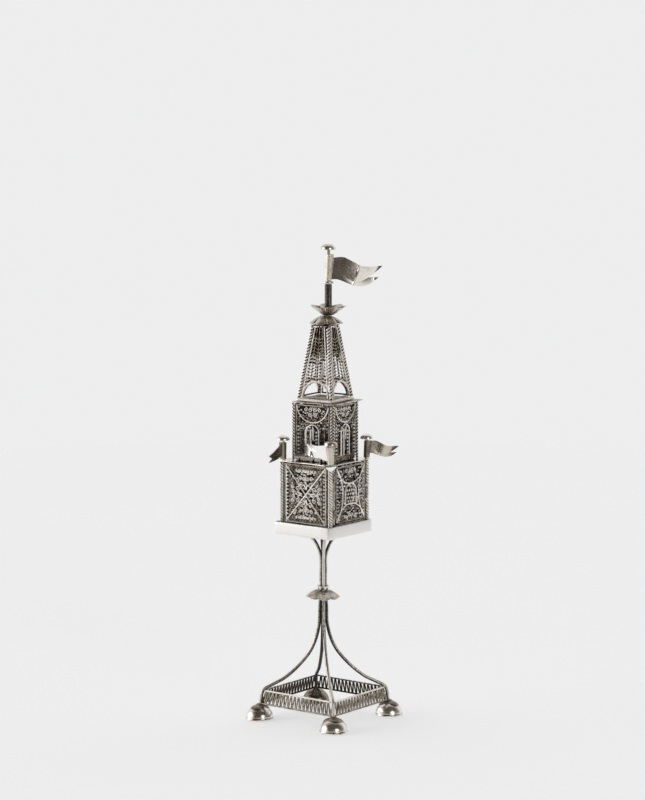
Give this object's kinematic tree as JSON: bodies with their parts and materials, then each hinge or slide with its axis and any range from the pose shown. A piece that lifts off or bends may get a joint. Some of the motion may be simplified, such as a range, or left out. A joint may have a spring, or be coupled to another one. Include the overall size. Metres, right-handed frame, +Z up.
{
  "type": "spice tower",
  "caption": "Tall tiered filigree spice tower on a stem with square footed base, tray, box with a door, spire and swivelling pennants.",
  "frame": {"origin": "on the floor below the middle of the square base", "axes": "+Z up along the stem, -Y the front side, +X the side with the door"},
  "size_m": [0.0612, 0.0614, 0.24],
  "materials": {
    "polished_silver": "polished silver with soft wear and a little tarnish",
    "filigree_silver": "oxidised silver wire work, dark in the recesses and bright on the ridges",
    "wire_silver": "drawn silver wire, lightly tarnished"
  },
  "bodies": {
    "tower": {"foot_front_right": "polished_silver", "foot_back_right": "polished_silver", "foot_back_left": "polished_silver", "foot_front_left": "polished_silver", "base_gallery_front": "filigree_silver", "base_gallery_right": "filigree_silver", "base_gallery_back": "filigree_silver", "base_gallery_left": "filigree_silver", "stem_wire_front_right": "wire_silver", "stem_wire_back_right": "wire_silver", "stem_wire_back_left": "wire_silver", "stem_wire_front_left": "wire_silver", "stem_knop": "polished_silver", "knop_ferrule": "polished_silver", "tray": "polished_silver", "lower_post_front_right": "filigree_silver", "lower_post_back_right": "filigree_silver", "lower_post_back_left": "filigree_silver", "lower_post_front_left": "filigree_silver", "lower_panel_front": "filigree_silver", "lower_panel_back": "filigree_silver", "lower_panel_left": "filigree_silver", "door_sill": "filigree_silver", "door_hinge_pin": "wire_silver", "lower_plate": "polished_silver", "small_post_front_right": "polished_silver", "small_post_back_right": "polished_silver", "small_post_back_left": "polished_silver", "small_post_front_left": "polished_silver", "upper_post_front_right": "filigree_silver", "upper_post_back_right": "filigree_silver", "upper_post_back_left": "filigree_silver", "upper_post_front_left": "filigree_silver", "upper_panel_front": "filigree_silver", "upper_panel_right": "filigree_silver", "upper_panel_back": "filigree_silver", "upper_panel_left": "filigree_silver", "upper_plate": "polished_silver", "spire_sill": "polished_silver", "spire_post_front_right": "filigree_silver", "spire_post_back_right": "filigree_silver", "spire_post_back_left": "filigree_silver", "spire_post_front_left": "filigree_silver", "spire_panel_front": "filigree_silver", "spire_panel_right": "filigree_silver", "spire_panel_back": "filigree_silver", "spire_panel_left": "filigree_silver", "spire_crown": "polished_silver", "cup_lower": "polished_silver", "cup_upper": "polished_silver", "pole": "polished_silver", "pennant_rod": "polished_silver", "top_cap": "polished_silver"},
    "door": {"door": "filigree_silver", "door_pull": "wire_silver"},
    "top_pennant": {"top_pennant": "polished_silver"},
    "pennant_front_right": {"small_pennant_front_right": "polished_silver"},
    "pennant_back_right": {"small_pennant_back_right": "polished_silver"},
    "pennant_back_left": {"small_pennant_back_left": "polished_silver"},
    "pennant_front_left": {"small_pennant_front_left": "polished_silver"}
  },
  "joints": [
    {"name": "door_hinge", "type": "hinge", "parent": "tower", "child": "door", "pos_m": [0.0152, -0.01255, 0.11], "axis": [0, 0, -1], "range_deg": [0, 105]},
    {"name": "top_pennant_swivel", "type": "hinge", "parent": "tower", "child": "top_pennant", "pos_m": [0.0015, 0.00115, 0.228], "axis": [0, 0, 1], "continuous": true},
    {"name": "front_right_swivel", "type": "hinge", "parent": "tower", "child": "pennant_front_right", "pos_m": [0.0151, -0.01475, 0.138], "axis": [0, 0, 1], "range_deg": [-4, 236]},
    {"name": "back_right_swivel", "type": "hinge", "parent": "tower", "child": "pennant_back_right", "pos_m": [0.0151, 0.01505, 0.138], "axis": [0, 0, 1], "range_deg": [-123, 113]},
    {"name": "back_left_swivel", "type": "hinge", "parent": "tower", "child": "pennant_back_left", "pos_m": [-0.0147, 0.01505, 0.138], "axis": [0, 0, 1], "range_deg": [-33, 203]},
    {"name": "front_left_swivel", "type": "hinge", "parent": "tower", "child": "pennant_front_left", "pos_m": [-0.0147, -0.01475, 0.138], "axis": [0, 0, 1], "range_deg": [-190, 46]}
  ]
}
